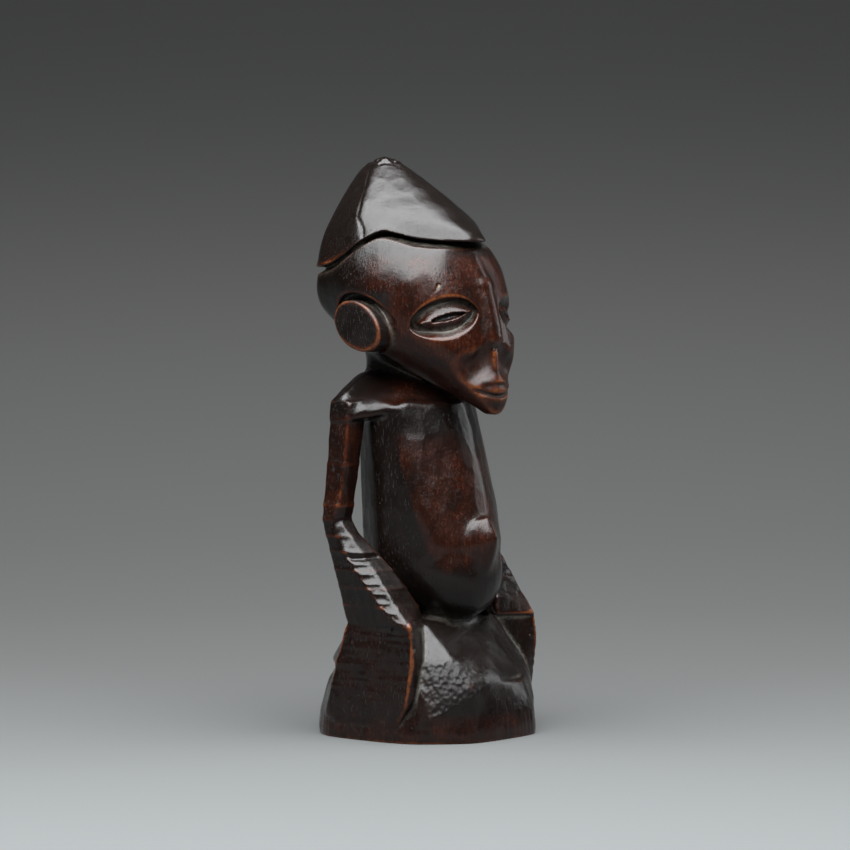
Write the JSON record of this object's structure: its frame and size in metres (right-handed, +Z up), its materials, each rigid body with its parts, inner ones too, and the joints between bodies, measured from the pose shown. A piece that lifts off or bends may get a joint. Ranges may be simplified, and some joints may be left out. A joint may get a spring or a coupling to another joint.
{
  "type": "carved wooden figure",
  "caption": "Carved dark hardwood half-figure with a conical cap, large head, disc ears and arms that frame the body, standing on a flat round-cornered base",
  "frame": {"origin": "on the underside of the base, at the middle of the object's own box, so the figure stands on Z = 0", "axes": "+Z up along the figure, the face looks along -Y, the figure's right side is at -X and its left side at +X"},
  "size_m": [0.086, 0.0858, 0.23],
  "materials": {
    "worn_wood": "satin, worn to red brown on the edges",
    "dark_patina": "semi-gloss, handled and oiled",
    "polished_wood": "semi-gloss, polished by handling"
  },
  "bodies": {
    "root": {"base": "worn_wood", "lap": "dark_patina", "seat": "dark_patina", "torso": "polished_wood", "shoulders": "dark_patina", "neck": "dark_patina", "head": "polished_wood", "cap": "dark_patina", "right_hip_panel": "worn_wood", "left_hip_panel": "worn_wood", "right_forearm": "dark_patina", "left_forearm": "dark_patina", "right_upper_arm": "polished_wood", "left_upper_arm": "polished_wood", "right_ear": "dark_patina", "left_ear": "dark_patina"}
  },
  "joints": []
}
